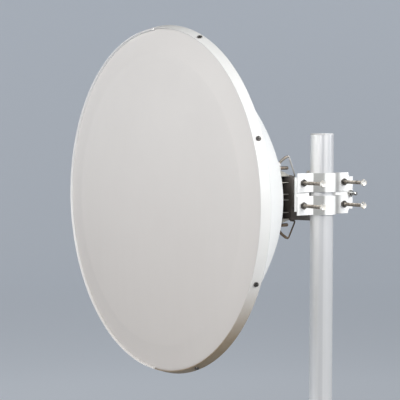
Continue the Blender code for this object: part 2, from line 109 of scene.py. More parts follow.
class Recipe:
    def __init__(self, name, **fixed):  # fixed values go straight onto the shader
        self.material = bpy.data.materials.new(name)
        self.material.use_nodes = True
        self.tree = self.material.node_tree
        self.shader = self.tree.nodes["Principled BSDF"]
        self.place = self.add("ShaderNodeTexCoord", {}, {}, "Object")
        for socket, value in fixed.items():
            self.feed(self.shader.inputs[socket.replace("_", " ")], value)

    def add(self, kind, settings, sockets, output=0):
        node = self.tree.nodes.new(kind)
        for name, value in settings.items():
            setattr(node, name, value)
        for key, value in sockets.items():
            self.feed(node.inputs[key], value)
        return Flow(self, node.outputs[output])

    def feed(self, target, value):
        if isinstance(value, Flow):
            self.tree.links.new(value.socket, target)
        elif target.type == "RGBA" and len(value) == 3:
            target.default_value = (*value, 1.0)
        else:
            target.default_value = value

    def vector(self, operation, other):  # one number from the object's own place and another vector
        return self.add("ShaderNodeVectorMath", {"operation": operation}, {0: self.place, 1: other}, "Value")

    def axis(self, letter):
        return self.add("ShaderNodeSeparateXYZ", {}, {0: self.place}, letter)

    def stretched(self, scale):  # the object's own place, stretched
        return self.add("ShaderNodeMapping", {}, {"Vector": self.place, "Scale": scale})

    def noise(self, scale, detail, roughness=0.5, place=None):
        sockets = {"Vector": place or self.place, "Scale": scale, "Detail": detail, "Roughness": roughness}
        return self.add("ShaderNodeTexNoise", {}, sockets)

    def mixed(self, share, first, second):
        return self.add("ShaderNodeMix", {"data_type": "RGBA"}, {0: share, 6: first, 7: second}, 2)

    def between(self, value, low, high, first=0.0, last=1.0):
        sockets = {0: value, 1: low, 2: high, 3: first, 4: last}
        return self.add("ShaderNodeMapRange", {"interpolation_type": "SMOOTHSTEP"}, sockets)

    def stretch(self, value, start, full, fade, end):  # one from full to fade, nothing before start or past end
        return self.between(value, start, full) * self.between(value, fade, end, 1.0, 0.0)

    def uneven(self, mask, noise, amount):
        return mask * ((1.0 - amount / 2) + noise * amount)

    def sheen(self, value, gloss, spread):  # roughness that follows a noise
        return self.between(value, 0.3, 0.7, gloss, gloss + spread)

    def finish(self, colour, roughness=None, height=None, depth=0.0, metallic=None):
        self.feed(self.shader.inputs["Base Color"], colour)
        if roughness:
            self.feed(self.shader.inputs["Roughness"], roughness)
        if metallic:
            self.feed(self.shader.inputs["Metallic"], metallic)
        if height:
            bump = self.add("ShaderNodeBump", {}, {"Height": height, "Distance": depth, "Strength": 1.0})
            self.feed(self.shader.inputs["Normal"], bump)
        return self.material


# White paints

def paintFinish(name, settings, shadedSpans=()):  # the last argument gives stretches along Y where shade is painted into the colour
    recipe = Recipe(name, Specular_IOR_Level=0.45)
    clouds = recipe.noise(settings["cloudScale"], 4.0)
    specks = recipe.noise(settings["speckScale"], 2.0)
    patches = recipe.noise(settings["stainScale"], 5.0, 0.65)
    tint = recipe.mixed(recipe.between(clouds, *settings["clouds"]), settings["clean"], settings["dusty"])
    stains = recipe.between(patches, *settings["stains"]) * settings["stain"]
    colour = recipe.mixed(stains, tint, settings["stainTint"])
    # painted shade: darker paint along each stretch
    for limits, shadingTint in shadedSpans:
        shading = recipe.uneven(recipe.stretch(recipe.axis("Y"), *limits), clouds, 0.3)
        colour = recipe.mixed(shading, colour, shadingTint)
    roughness = recipe.sheen(clouds, settings["gloss"], 0.10) + specks * 0.04
    peel = recipe.noise(settings["peelScale"], 2.0, 0.4)
    return recipe.finish(colour, roughness, peel + specks * 0.3, settings["peelDepth"])


clampPaint = {
    "clean": (0.94, 0.94, 0.93), "dusty": (0.91, 0.91, 0.90), "stain": 0.12, "stainTint": (0.55, 0.49, 0.40),
    "cloudScale": 9.0, "clouds": (0.35, 0.68), "stainScale": 38.0, "stains": (0.62, 0.78),
    "speckScale": 420.0, "peelScale": 700.0, "peelDepth": 0.00006, "gloss": 0.34,
}
jawShade = (  # painted shade on the jaws' left slope and on the bend of their right foot: start, full, fade and end along Y, then the tint
    ((-0.0381, -0.0366, -0.0240, -0.0140), (0.385, 0.388, 0.380)),
    ((0.0080, 0.0240, 0.0510, 0.0700), (0.37, 0.37, 0.365)),
)
bowlPaint = {
    **clampPaint, "clean": (0.88, 0.88, 0.87), "dusty": (0.85, 0.85, 0.835), "stain": 0.07,
    "stainTint": (0.62, 0.58, 0.50), "cloudScale": 3.2, "peelScale": 480.0, "peelDepth": 0.00005, "gloss": 0.36,
}
whiteFinish = paintFinish("whitePowderCoat", clampPaint)
jawFinish = paintFinish("jawPowderCoat", clampPaint, jawShade)
bowlFinish = paintFinish("reflectorPaint", bowlPaint)
plateFinish = paintFinish("platePaint", {**bowlPaint, "cloudScale": 12.0, "stain": 0.12})


def bandFinish(name, settings):
    recipe = Recipe(name, Specular_IOR_Level=0.45)
    clouds = recipe.noise(settings["cloudScale"], 4.0)
    streaks = recipe.noise(settings["streakScale"], 4.0, 0.6, recipe.stretched(settings["streakStretch"]))
    clean = recipe.mixed(recipe.between(clouds, *settings["clouds"]), settings["clean"], settings["dusty"])
    # painted shade: darker and browner towards the bottom of the band
    low = recipe.between(recipe.axis("Z"), settings["paintedShadeTop"], settings["paintedShadeLow"])
    low = recipe.uneven(low, streaks, 0.28)
    colour = recipe.mixed(low * settings["paintedShade"], clean, settings["paintedShadeTint"])
    roughness = recipe.sheen(clouds, settings["gloss"], 0.10) + low * 0.12
    peel = recipe.noise(settings["peelScale"], 2.0, 0.4)
    return recipe.finish(colour, roughness, peel, settings["peelDepth"])


bandSettings = {
    "clean": (0.65, 0.65, 0.64), "dusty": (0.615, 0.615, 0.60), "paintedShadeTint": (0.335, 0.26, 0.175),
    "paintedShade": 1.0, "paintedShadeTop": 1.37, "paintedShadeLow": 1.13, "cloudScale": 6.0, "clouds": (0.35, 0.68),
    "streakScale": 9.0, "streakStretch": (6.0, 6.0, 0.7), "peelScale": 520.0, "peelDepth": 0.00005, "gloss": 0.34,
}
# painted light: the far half takes a lighter copy of the band paint, with little of its painted shade
farLitTints = {"clean": (0.84, 0.84, 0.83), "dusty": (0.80, 0.80, 0.79), "paintedShade": 0.15}
bandPaint = bandFinish("bandPaint", bandSettings)
farBandLitPaint = bandFinish("farBandLitPaint", {**bandSettings, **farLitTints})


# Plastics

def radomeFinish(settings):
    recipe = Recipe("radomePlastic", Specular_IOR_Level=0.35)
    clouds = recipe.noise(settings["cloudScale"], 5.0, 0.55)
    grain = recipe.noise(settings["grainScale"], 2.0)
    drips = recipe.noise(settings["dripScale"], 4.0, 0.6, recipe.stretched(settings["dripStretch"]))
    fresh = recipe.mixed(recipe.between(clouds, *settings["clouds"]), settings["upper"], settings["patch"])
    # painted shade: darker towards the bottom
    low = recipe.between(recipe.axis("Z"), settings["shadingTop"], settings["shadingLow"])
    colour = recipe.mixed(recipe.uneven(low, drips, 0.2) * settings["shading"], fresh, settings["shadingTint"])
    roughness = recipe.sheen(clouds, settings["gloss"], 0.10)
    return recipe.finish(colour, roughness, grain + clouds * 0.5, settings["grainDepth"])


radomeSettings = {
    "upper": (0.695, 0.680, 0.655), "patch": (0.670, 0.655, 0.632), "shadingTint": (0.555, 0.528, 0.50),
    "shading": 0.80, "shadingTop": 1.85, "shadingLow": 1.05, "cloudScale": 3.0, "clouds": (0.32, 0.70),
    "dripScale": 5.0, "dripStretch": (7.0, 1.0, 0.6), "grainScale": 900.0, "grainDepth": 0.00006, "gloss": 0.52,
}
radomePlastic = radomeFinish(radomeSettings)


def plugFinish(settings):
    recipe = Recipe("plugPlastic", Specular_IOR_Level=0.4)
    clouds = recipe.noise(settings["cloudScale"], 4.0)
    colour = recipe.mixed(recipe.between(clouds, *settings["clouds"]), settings["clean"], settings["dusty"])
    roughness = recipe.sheen(clouds, settings["gloss"], 0.15)
    return recipe.finish(colour, roughness, recipe.noise(settings["grainScale"], 2.0), settings["grainDepth"])


plugSettings = {
    "clean": (0.72, 0.73, 0.74), "dusty": (0.60, 0.60, 0.59), "cloudScale": 40.0, "clouds": (0.3, 0.7),
    "grainScale": 800.0, "grainDepth": 0.00005, "gloss": 0.45,
}
plugPlastic = plugFinish(plugSettings)


# Metals

def mastFinish(settings):
    recipe = Recipe("mastCoating", Specular_IOR_Level=0.6, Metallic=settings["metallic"])
    height = recipe.axis("Z")
    streaks = recipe.noise(settings["streakScale"], 4.0, 0.6, recipe.stretched(settings["streakStretch"]))
    clean = recipe.mixed(recipe.between(streaks, *settings["streaks"]), settings["clean"], settings["streak"])
    # painted shade: darker towards the bottom
    low = recipe.between(height, settings["shadingTop"], settings["shadingLow"])
    colour = recipe.mixed(low * settings["shading"], clean, settings["shadingTint"])
    # painted highlight and painted shade in long stripes, stronger high up
    across = recipe.vector("DOT_PRODUCT", settings["across"])
    strength = recipe.between(height, *settings["strongFrom"], 1.0, settings["strong"])
    for limits, share, tint in settings["paintedStripes"]:
        colour = recipe.mixed(recipe.stretch(across, *limits) * strength * share, colour, tint)
    return recipe.finish(colour, recipe.sheen(streaks, settings["gloss"], 0.04))


mastSettings = {
    "metallic": 0.45, "clean": (0.81, 0.81, 0.815), "streak": (0.79, 0.79, 0.795), "gloss": 0.30,
    "shading": 1.0, "shadingTint": (0.76, 0.76, 0.755), "shadingTop": 1.60, "shadingLow": 1.15,
    "streakScale": 30.0, "streakStretch": (1.0, 1.0, 0.06), "streaks": (0.3, 0.7),
    "across": (0.58, 0.812, 0.0), "strongFrom": (1.50, 1.56), "strong": 1.5,
    "paintedStripes": (  # long stripes down the mast, a painted highlight on its left edge and painted shade down its middle and right: start, full, fade and end across it, share, tint
        ((-0.0400, -0.0350, -0.0230, -0.0140), 0.85, (0.97, 0.97, 0.965)),
        ((-0.0145, -0.0065, -0.0010, 0.0055), 0.40, (0.40, 0.405, 0.42)),
        ((0.0010, 0.0070, 0.0400, 0.0500), 0.24, (0.40, 0.405, 0.42)),
    ),
}
mastCoating = mastFinish(mastSettings)


def steelFinish(name, settings):
    recipe = Recipe(name, Specular_IOR_Level=0.5)
    patches = recipe.noise(settings["patchScale"], 5.0, 0.6)
    grain = recipe.noise(settings["grainScale"], 2.0)
    dull = recipe.between(patches, settings["dullFrom"], settings["dullTo"])
    colour = recipe.mixed(dull, settings["bright"], settings["dull"])
    roughness = recipe.sheen(patches, settings["gloss"], 0.20)
    metallic = 1.0 - dull * settings["loss"]
    return recipe.finish(colour, roughness, patches + grain * 0.4, settings["grainDepth"], metallic)


steelSettings = {
    "patchScale": 90.0, "dullFrom": 0.40, "dullTo": 0.62, "grainScale": 1500.0, "grainDepth": 0.00005,
    "gloss": 0.34, "loss": 0.45,
}
steelTints = {
    "zincBolt": {"bright": (0.92, 0.90, 0.86), "dull": (0.66, 0.62, 0.55), "loss": 0.8},
    "boltShank": {"bright": (0.42, 0.38, 0.33), "dull": (0.21, 0.18, 0.15)},
    "nut": {"bright": (0.20, 0.185, 0.165), "dull": (0.05, 0.045, 0.04), "gloss": 0.22, "loss": 0.3},
    "tongueBolt": {
        "bright": (0.72, 0.71, 0.68), "dull": (0.07, 0.065, 0.06), "gloss": 0.16, "loss": 0.2, "patchScale": 260.0,
    },
    "screw": {
        "bright": (0.30, 0.28, 0.26), "dull": (0.032, 0.030, 0.028), "gloss": 0.30, "loss": 0.7,
        "patchScale": 300.0, "dullFrom": 0.32, "dullTo": 0.54,
    },
    "peg": {"bright": (0.50, 0.43, 0.37), "dull": (0.30, 0.24, 0.19)},
    # darker brown, for the lower pegs
    "lowerPeg": {"bright": (0.34, 0.26, 0.19), "dull": (0.20, 0.145, 0.10)},
    "lever": {"bright": (0.66, 0.60, 0.53), "dull": (0.46, 0.40, 0.34), "loss": 0.9},
    "wire": {
        "bright": (0.98, 0.97, 0.95), "dull": (0.94, 0.92, 0.88), "gloss": 0.30, "loss": 1.0, "dullFrom": 0.2,
    },
    # painted shade: a darker copy of the latch steel, for the lower latches
    "shadedLatch": {"bright": (0.24, 0.19, 0.14), "dull": (0.15, 0.10, 0.065), "gloss": 0.42, "loss": 0.9},
}
steels = {use: steelFinish(use + "Steel", {**steelSettings, **tints}) for use, tints in steelTints.items()}


def castFinish(name, settings):
    recipe = Recipe(name, Specular_IOR_Level=0.4)
    clouds = recipe.noise(settings["cloudScale"], 5.0, 0.6)
    pits = recipe.noise(settings["pitScale"], 3.0, 0.6)
    colour = recipe.mixed(recipe.between(clouds, *settings["clouds"]), settings["dark"], settings["chalky"])
    if "finLight" in settings:  # painted highlight on the outer edges of the fins, on both sides of the dish's axis
        reach = recipe.add("ShaderNodeMath", {"operation": "ABSOLUTE"}, {0: recipe.axis("X") - dishCentre.x})
        colour = recipe.mixed(recipe.between(reach, *settings["finLightReach"]), colour, settings["finLight"])
    if "shadingTint" in settings:  # painted light: lighter on the upper part
        shading = recipe.between(recipe.axis("Z"), *settings["shadingFrom"]) * settings["shading"]
        colour = recipe.mixed(shading, colour, settings["shadingTint"])
    roughness = recipe.sheen(clouds, settings["gloss"], 0.18)
    return recipe.finish(colour, roughness, pits + clouds * 0.3, settings["pitDepth"])


castSettings = {"cloudScale": 26.0, "clouds": (0.38, 0.70), "pitScale": 520.0, "pitDepth": 0.00018, "gloss": 0.50}
neckTints = {
    "dark": (0.062, 0.058, 0.050), "chalky": (0.098, 0.092, 0.078),
    "finLight": (0.66, 0.64, 0.58), "finLightReach": (0.0572, 0.0578),
}
frameTints = {
    "dark": (0.096, 0.082, 0.070), "chalky": (0.146, 0.126, 0.108),
    "shading": 0.70, "shadingTint": (0.34, 0.31, 0.285), "shadingFrom": (1.485, 1.565),
}
neckPaint = castFinish("castNeckPaint", {**castSettings, **neckTints})
framePaint = castFinish("castFramePaint", {**castSettings, **frameTints})
print("finishes made:", len(bpy.data.materials))


# Shapes

def openEdges(work):
    return [edge for edge in work.edges if edge.is_boundary]


def spun(outline, steps, first=0.0, sweep=360.0, closed=True):  # (radius, along) points turned about local Z
    work = bmesh.new()
    start = Matrix.Rotation(math.radians(first), 4, "Z")
    corners = [work.verts.new(start @ Vector((radius, 0.0, along))) for radius, along in outline]
    pairs = list(zip(corners, corners[1:]))
    if closed:
        pairs.append((corners[-1], corners[0]))
    edges = [work.edges.new(pair) for pair in pairs]
    full = sweep >= 360.0
    bmesh.ops.spin(
        work, geom=corners + edges, cent=(0, 0, 0), axis=(0, 0, 1), angle=math.radians(sweep), steps=steps,
        use_merge=full, use_duplicate=False,
    )
    bmesh.ops.remove_doubles(work, verts=work.verts, dist=mergeDistance)
    if not full:
        bmesh.ops.holes_fill(work, edges=openEdges(work))
    return work


def hexRadius(flats, angle):
    return flats / 2 / math.cos((angle % (math.pi / 3)) - math.pi / 6)


def setRing(loop, size, along, hexagonal):
    for vert in loop:
        angle = math.atan2(vert.co.y, vert.co.x)
        radius = hexRadius(size, angle) if hexagonal else size
        vert.co = (radius * math.cos(angle), radius * math.sin(angle), along)


def grownLoop(work, edges):  # the next ring of vertices and edges along a tube
    grown = bmesh.ops.extrude_edge_only(work, edges=edges)["geom"]
    loop = [part for part in grown if isinstance(part, bmesh.types.BMVert)]
    return loop, [part for part in grown if isinstance(part, bmesh.types.BMEdge) and part.is_boundary]


def tower(rings, sides=24, hollow=False):  # rings of size and place along, with True where hexagonal
    work = bmesh.new()
    loop = bmesh.ops.create_circle(work, cap_ends=False, segments=sides, radius=1.0)["verts"]
    firstEdges = edges = list(work.edges)
    for index, (size, along, *hexagonal) in enumerate(rings):
        if index:
            loop, edges = grownLoop(work, edges)
        setRing(loop, size, along, any(hexagonal))
    if hollow:
        bmesh.ops.bridge_loops(work, edges=firstEdges + edges)
    else:
        bmesh.ops.holes_fill(work, edges=firstEdges + edges)
    return work


thread = {"depth": 0.58, "crest": (0.42, 0.58), "steps": 16}  # depth and crest as shares of the pitch


def threaded(radius, pitch, low, high):  # one helical ridge from low to high
    work = bmesh.new()
    root = radius - thread["depth"] * pitch
    turns = int((high - low) / pitch) - 1
    rise = (high - low) / (turns + 1)
    crestStart, crestEnd = thread["crest"]
    profile = [(root, low), (radius, low + rise * crestStart), (radius, low + rise * crestEnd), (root, low + rise)]
    corners = [work.verts.new((reach, 0.0, along)) for reach, along in profile]
    edges = [work.edges.new(pair) for pair in zip(corners, corners[1:])]
    bmesh.ops.spin(
        work, geom=corners + edges, cent=(0, 0, 0), axis=(0, 0, 1), dvec=(0, 0, rise / thread["steps"]),
        angle=math.tau * turns, steps=thread["steps"] * turns, use_merge=False, use_duplicate=False,
    )
    bmesh.ops.remove_doubles(work, verts=work.verts, dist=mergeDistance)
    bmesh.ops.holes_fill(work, edges=openEdges(work))
    return work


def pulled(outline, low, high):  # flat outline of (x, y) pulled up from low to high
    work = bmesh.new()
    face = work.faces.new([work.verts.new((x, y, low)) for x, y in outline])
    grown = bmesh.ops.extrude_face_region(work, geom=[face])["geom"]
    upper = [part for part in grown if isinstance(part, bmesh.types.BMVert)]
    bmesh.ops.translate(work, vec=(0.0, 0.0, high - low), verts=upper)
    bmesh.ops.holes_fill(work, edges=openEdges(work))
    return work


def swept(path, radii, sides=16):  # round bar along the path
    work = bmesh.new()
    loop = bmesh.ops.create_circle(work, cap_ends=False, segments=sides, radius=1.0)["verts"]
    firstEdges = edges = list(work.edges)
    side = None
    for index, (point, radius) in enumerate(zip(path, radii)):
        before = path[max(index - 1, 0)]
        after = path[min(index + 1, len(path) - 1)]
        forward = (after - before).normalized()
        if side is None:
            side = forward.orthogonal().normalized()
        else:
            side = (side - side.dot(forward) * forward).normalized()
            loop, edges = grownLoop(work, edges)
            bmesh.ops.transform(work, matrix=place.inverted(), verts=loop)
        place = facing(point, forward, side) @ Matrix.Diagonal((radius, radius, 1.0, 1.0))
        bmesh.ops.transform(work, matrix=place, verts=loop)
    bmesh.ops.holes_fill(work, edges=firstEdges + edges)
    return work


def rounded(points, radius, steps=5):  # path with its inner corners turned into bends
    path = [points[0]]
    for before, corner, after in zip(points, points[1:], points[2:]):
        back = before - corner
        ahead = after - corner
        reach = min(radius, back.length * 0.45, ahead.length * 0.45)
        start = corner + back.normalized() * reach
        end = corner + ahead.normalized() * reach
        for step in range(steps + 1):
            share = step / steps
            path.append(start * (1 - share) ** 2 + corner * 2 * share * (1 - share) + end * share ** 2)
    return path + [points[-1]]


def copied(node):  # a CAD node's own shape, merged and cleaned, ready for its edges
    work = bmesh.new()
    work.from_mesh(frame["nodes"][node].data)
    bmesh.ops.remove_doubles(work, verts=work.verts, dist=0.00002)
    bmesh.ops.dissolve_limit(work, angle_limit=math.radians(0.6), verts=work.verts, edges=work.edges)
    for face in work.faces:
        face.material_index = 0
    return work


def moved(work, place):
    bmesh.ops.transform(work, matrix=place, verts=work.verts)
    return work


def joined(*parts):
    whole = bmesh.new()
    for part in parts:
        bmesh.ops.recalc_face_normals(part, faces=part.faces)
        mesh = bpy.data.meshes.new("joining")
        part.to_mesh(mesh)
        part.free()
        whole.from_mesh(mesh)
        bpy.data.meshes.remove(mesh)
    return whole


def piece(name, work, material, body, stands, edge=0.0, crease=32.0):  # stands: the CAD nodes it replaces
    bmesh.ops.recalc_face_normals(work, faces=work.faces)
    mesh = bpy.data.meshes.new(name)
    work.to_mesh(mesh)
    work.free()
    mesh.shade_smooth()
    if not edge:
        mesh.set_sharp_from_angle(angle=math.radians(crease))
    mesh.materials.append(material)
    item = bpy.data.objects.new(name, mesh)
    bpy.context.scene.collection.objects.link(item)
    if edge:
        rounding = item.modifiers.new("edges", "BEVEL")
        rounding.width = edge
        rounding.segments = 2
        rounding.limit_method = "ANGLE"
        rounding.angle_limit = math.radians(crease)
        rounding.harden_normals = True
    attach(item, body)
    if stands:
        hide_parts(*stands)


# Mast: a tube with a plug in its top

mast = {
    "radius": 0.03175, "wall": 0.003, "top": 1.672, "floor": 0.004, "lip": 0.0012, "topEdge": 0.0006, "steps": 96,
}
plug = {
    "depth": 0.016, "taper": 0.014, "narrowed": 0.001, "height": 1.676,
    "brim": ((0.0002, 0.0003), (0.0, 0.0008)),  # in from the mast's side, up from its top
    "crown": ((0.0, 0.0020), (0.0006, 0.0009), (0.0020, 0.0002), (0.0040, 0.0)),  # in, and down from the height
}


def makeMast():
    radius, top, edge = mast["radius"], mast["top"], mast["topEdge"]
    inner = radius - mast["wall"]
    outline = [
        (0.0, 0.0), (radius - mast["lip"], 0.0), (radius, mast["lip"]), (radius, top - edge), (radius - edge, top),
        (inner, top), (inner, mast["floor"]), (0.0, mast["floor"]),
    ]
    tube = spun(outline, mast["steps"], closed=False)
    piece("mastTube", tube, mastCoating, "mast", ["mast_tube"])
    side = inner - gap
    outline = [(0.0, top - plug["depth"]), (side - plug["narrowed"], top - plug["depth"])]
    outline += [(side, top - plug["taper"]), (side, top + gap)]
    outline += [(radius - inward, top + rise) for inward, rise in plug["brim"]]
    outline += [(radius - inward, plug["height"] - drop) for inward, drop in plug["crown"]]
    outline += [(0.0, plug["height"])]
    cap = spun(outline, mast["steps"], closed=False)
    piece("mastPlug", cap, plugPlastic, "mast", ["mast_cap"])


makeMast()
print("mast made")


# Clamp: bent jaws, bracket, bolts

jaws = {
    "face": 0.0070, "sheet": 0.0040, "halfLength": 0.092, "height": 0.0517, "split": 0.0098,
    "tilt": 60.0, "bend": 0.0035, "wideBend": 0.028, "edge": 0.0007, "crease": 38.0,
}


def wallY(distance, tilt, x):  # where a slanted wall stands at this x
    return (distance - abs(x) * math.cos(tilt)) / math.sin(tilt)


def uprightsAt(work, spot):  # the edges that stand on this corner of the outline
    upright = [edge for edge in work.edges if abs(edge.verts[0].co.z - edge.verts[1].co.z) > jaws["height"] / 2]
    return [edge for edge in upright if (edge.verts[0].co.xy - Vector(spot)).length < 0.00001]


def makeJaw(name, node, low):
    near = mast["radius"] + gap
    far = near + jaws["sheet"]
    tilt = math.radians(jaws["tilt"])
    front = jaws["face"]
    back = front - jaws["sheet"]
    half = jaws["halfLength"]
    outline = [
        (front, -half), (front, -wallY(far, tilt, front)), (far, -wallY(far, tilt, far)),
        (far, wallY(far, tilt, far)), (front, wallY(far, tilt, front)), (front, half),
        (back, half), (back, wallY(near, tilt, back)), (near, wallY(near, tilt, near)),
        (near, -wallY(near, tilt, near)), (back, -wallY(near, tilt, back)), (back, -half),
    ]
    inner, wideInner = jaws["bend"], jaws["wideBend"]
    outer, wideOuter = inner + jaws["sheet"], wideInner + jaws["sheet"]
    bends = {1: inner, 2: outer, 3: outer, 4: wideInner, 7: wideOuter, 8: inner, 9: inner, 10: outer}
    work = pulled(outline, low, low + jaws["height"])
    for index, radius in bends.items():  # corners of the outline and their radii
        bmesh.ops.bevel(
            work, geom=uprightsAt(work, outline[index]), offset=radius * math.tan(tilt / 2), offset_type="OFFSET",
            segments=8, profile=0.5, affect="EDGES", material=-1, clamp_overlap=True,
        )
    piece(name, work, jawFinish, "mast", [node], jaws["edge"], jaws["crease"])


makeJaw("jawUpper", "clamp_jaw_upper", clampHeight + jaws["split"] / 2)
makeJaw("jawLower", "clamp_jaw_lower", clampHeight - jaws["split"] / 2 - jaws["height"])

bracket = copied("clamp_bracket")
piece("clampBracket", bracket, whiteFinish, "mast", ["clamp_bracket"], edge=0.0005)
yoke = copied("azimuth_yoke")
piece("yokePlate", yoke, framePaint, "yoke", ["azimuth_yoke"], edge=0.0005)
print("clamp plates made")

bolt = {
    "flats": 0.017, "head": 0.0064, "radius": 0.005, "pitch": 0.0015, "nut": 0.008, "round": 0.475,
    "seatFace": ((0.46, 0.0), (0.485, 0.0005)), "seatRise": 0.0009, "corner": 0.80,
    "dish": ((0.40, 0.0), (0.34, 0.0005)),  # shares of the flats, and how far down
    "tip": ((0.0014, 0.0), (0.0008, 0.0008), (0.0008, 0.004)),  # in from the radius, back from the end
    "collar": ((0.0006, -0.0035), (0.0002, -0.0020), (0.0002, 0.0002)),
    "threadStart": 0.0006, "threadEnd": 0.0015, "nutChamfer": 0.0010,
    "nutFoot": (0.0004, 0.0006), "nutMouth": (0.0006, 0.0008),  # how wide and how deep the hole opens out
}


def headShape():
    flats, head = bolt["flats"], bolt["head"]
    rings = [(flats * share, rise) for share, rise in bolt["seatFace"]]
    rings += [(flats, bolt["seatRise"], True), (flats, head * bolt["corner"], True), (flats * bolt["round"], head)]
    rings += [(flats * share, head - drop) for share, drop in bolt["dish"]]
    return tower(rings)


def shankShape(length):
    tip = tower([(bolt["radius"] - inward, back - length) for inward, back in bolt["tip"]])
    collar = tower([(bolt["radius"] - inward, along) for inward, along in bolt["collar"]])
    ridge = threaded(bolt["radius"], bolt["pitch"], bolt["threadStart"] - length, -bolt["threadEnd"])
    return joined(ridge, tip, collar)


def nutShape():
    flats, thick, chamfer = bolt["flats"], bolt["nut"], bolt["nutChamfer"]
    hole = bolt["radius"] + gap
    footWidth, footDepth = bolt["nutFoot"]
    mouthWidth, mouthDepth = bolt["nutMouth"]
    return tower([
        (hole + footWidth, 0.0), (flats * bolt["round"], 0.0), (flats, chamfer, True),
        (flats, thick - chamfer, True), (flats * bolt["round"], thick), (hole + mouthWidth, thick),
        (hole, thick - mouthDepth), (hole, footDepth),
    ], hollow=True)


def makeBolt(name, node, length, place, body, shankSteel=steels["boltShank"]):
    piece(name + "Head", moved(headShape(), place), steels["zincBolt"], body, [node])
    piece(name + "Shank", moved(shankShape(length), place), shankSteel, body, [node])


def makeNut(name, node, place, body, steel=steels["nut"]):
    piece(name, moved(nutShape(), place), steel, body, [node])


clampBolts = {"seat": 0.0834, "length": 0.0954, "reach": 0.0734}


def makeClampBolts():
    rise = (jaws["split"] + jaws["height"]) / 2
    spots = [(end * clampBolts["reach"], clampHeight + side * rise) for end in (-1, 1) for side in (1, -1)]
    for number, spot in enumerate(spots, 1):
        place = facing((clampBolts["seat"], *spot), alongX, alongZ)
        makeBolt(f"clampBolt{number}", f"clamp_bolt_{number}", clampBolts["length"], place, "mast")
        place = facing((jaws["face"] + gap, *spot), alongX, alongZ)
        makeNut(f"clampNut{number}", f"clamp_nut_{number}", place, "mast")


makeClampBolts()

tongue = {"y": 0.101, "below": 0.002, "length": 0.0325}  # below the middle of the clamp


def makeTongueBolt():
    front = jaws["face"] - jaws["sheet"] - gap
    back = front - jaws["sheet"]
    spot = (tongue["y"], clampHeight - tongue["below"])
    place = facing((back - gap, *spot), -alongX, alongZ)
    makeBolt("tongueBolt", "tongue_bolt", tongue["length"], place, "mast", steels["tongueBolt"])
    place = facing((front + gap, *spot), alongX, alongZ)
    makeNut("tongueNut", "tongue_nut", place, "mast", steels["tongueBolt"])


makeTongueBolt()

azimuth = {"x": -0.056, "ears": 0.0460, "pastEars": 0.0160}  # ears: their outside, from the middle


def makeAzimuthBolt():
    middle = Vector((azimuth["x"], 0.0, clampHeight))
    outside = Vector((0.0, 0.0, azimuth["ears"] + gap))
    length = 2 * azimuth["ears"] + azimuth["pastEars"]
    place = facing(middle - outside, -alongZ, alongX)
    makeBolt("azimuthBolt", "azimuth_pivot_bolt", length, place, "mast", steels["zincBolt"])
    makeNut("azimuthNut", "azimuth_pivot_nut", facing(middle + outside, alongZ, alongX), "mast")


makeAzimuthBolt()

elevation = {
    "y": 0.028, "yokeFront": -0.095, "yokeBack": -0.101, "lug": -0.107, "lugThickness": 0.006, "length": 0.0295,
    "spacerHole": 0.0053, "spacerRadius": 0.0095, "spacerEdge": 0.0003,
}


def makeElevationBolt():
    spot = (elevation["y"], axisHeight)
    place = facing((elevation["yokeFront"] + gap, *spot), alongX, alongZ)
    makeBolt("elevationBolt", "elevation_pivot_bolt", elevation["length"], place, "yoke")
    lugBack = elevation["lug"] - elevation["lugThickness"] - gap
    makeNut("elevationNut", "elevation_pivot_nut", facing((lugBack, *spot), -alongX, alongZ), "yoke")
    length = elevation["yokeBack"] - elevation["lug"] - 2 * gap
    hole, radius, edge = elevation["spacerHole"], elevation["spacerRadius"], elevation["spacerEdge"]
    spacer = tower([
        (hole, 0.0), (radius - edge, 0.0), (radius, edge), (radius, length - edge), (radius - edge, length),
        (hole, length),
    ], sides=32, hollow=True)
    place = facing((elevation["lug"] + gap, *spot), alongX, alongZ)
    piece("elevationSpacer", moved(spacer, place), steels["nut"], "yoke", ["elevation_spacer"])


makeElevationBolt()
print("bolts and nuts made")


# Hub behind the bowl

hubPieces = (
    ("hubFrame", "hub_frame", framePaint, "dark_cast_paint", 0.0012),
    ("hubNeck", "hub_neck", neckPaint, "dark_cast_paint", 0.0004),
    ("mountingPlate", "mounting_plate", plateFinish, "plate_paint", 0.0008),
)
for name, node, material, slot, edge in hubPieces:
    piece(name, copied(node), material, "dish", [node], edge)

corners = [(side, rise) for side in (1, -1) for rise in (1, -1)]  # of the mounting plate
peg = {
    "reach": 0.078, "upper": 0.0805, "lower": -0.078, "radius": 0.0048, "start": 0.3493, "tip": 0.391,
    "groove": ((0.0, 0.55), (0.0004, 0.56), (0.0004, 0.60), (0.0, 0.61)),  # how deep, at these shares of the length
    "end": ((0.0, 0.0022), (0.0008, 0.0006), (0.0018, 0.0)),
}


def makePegs():
    length = peg["tip"] - peg["start"]
    rings = [(peg["radius"], 0.0)]
    rings += [(peg["radius"] - inward, length * share) for inward, share in peg["groove"]]
    rings += [(peg["radius"] - inward, length - back) for inward, back in peg["end"]]
    for number, (side, rise) in enumerate(corners, 1):
        root = inDish(side * peg["reach"], peg["start"], peg["upper"] if rise > 0 else peg["lower"])
        shape = moved(tower(rings, sides=32), facing(root, alongY, alongX))
        steel = steels["peg" if rise > 0 else "lowerPeg"]
        piece(f"guidePeg{number}", shape, steel, "dish", [f"guide_peg_{number}"])


makePegs()

latch = {
    "lever": 0.0038, "wire": 0.0022, "thinned": 0.82, "apexUp": 0.1135, "apexDown": 0.1115, "top": 0.0536,
    "bottom": 0.067, "hooks": {1: 0.067, -1: 0.058}, "plateBack": 0.349, "leverBend": 0.006, "wireBend": 0.004,
}


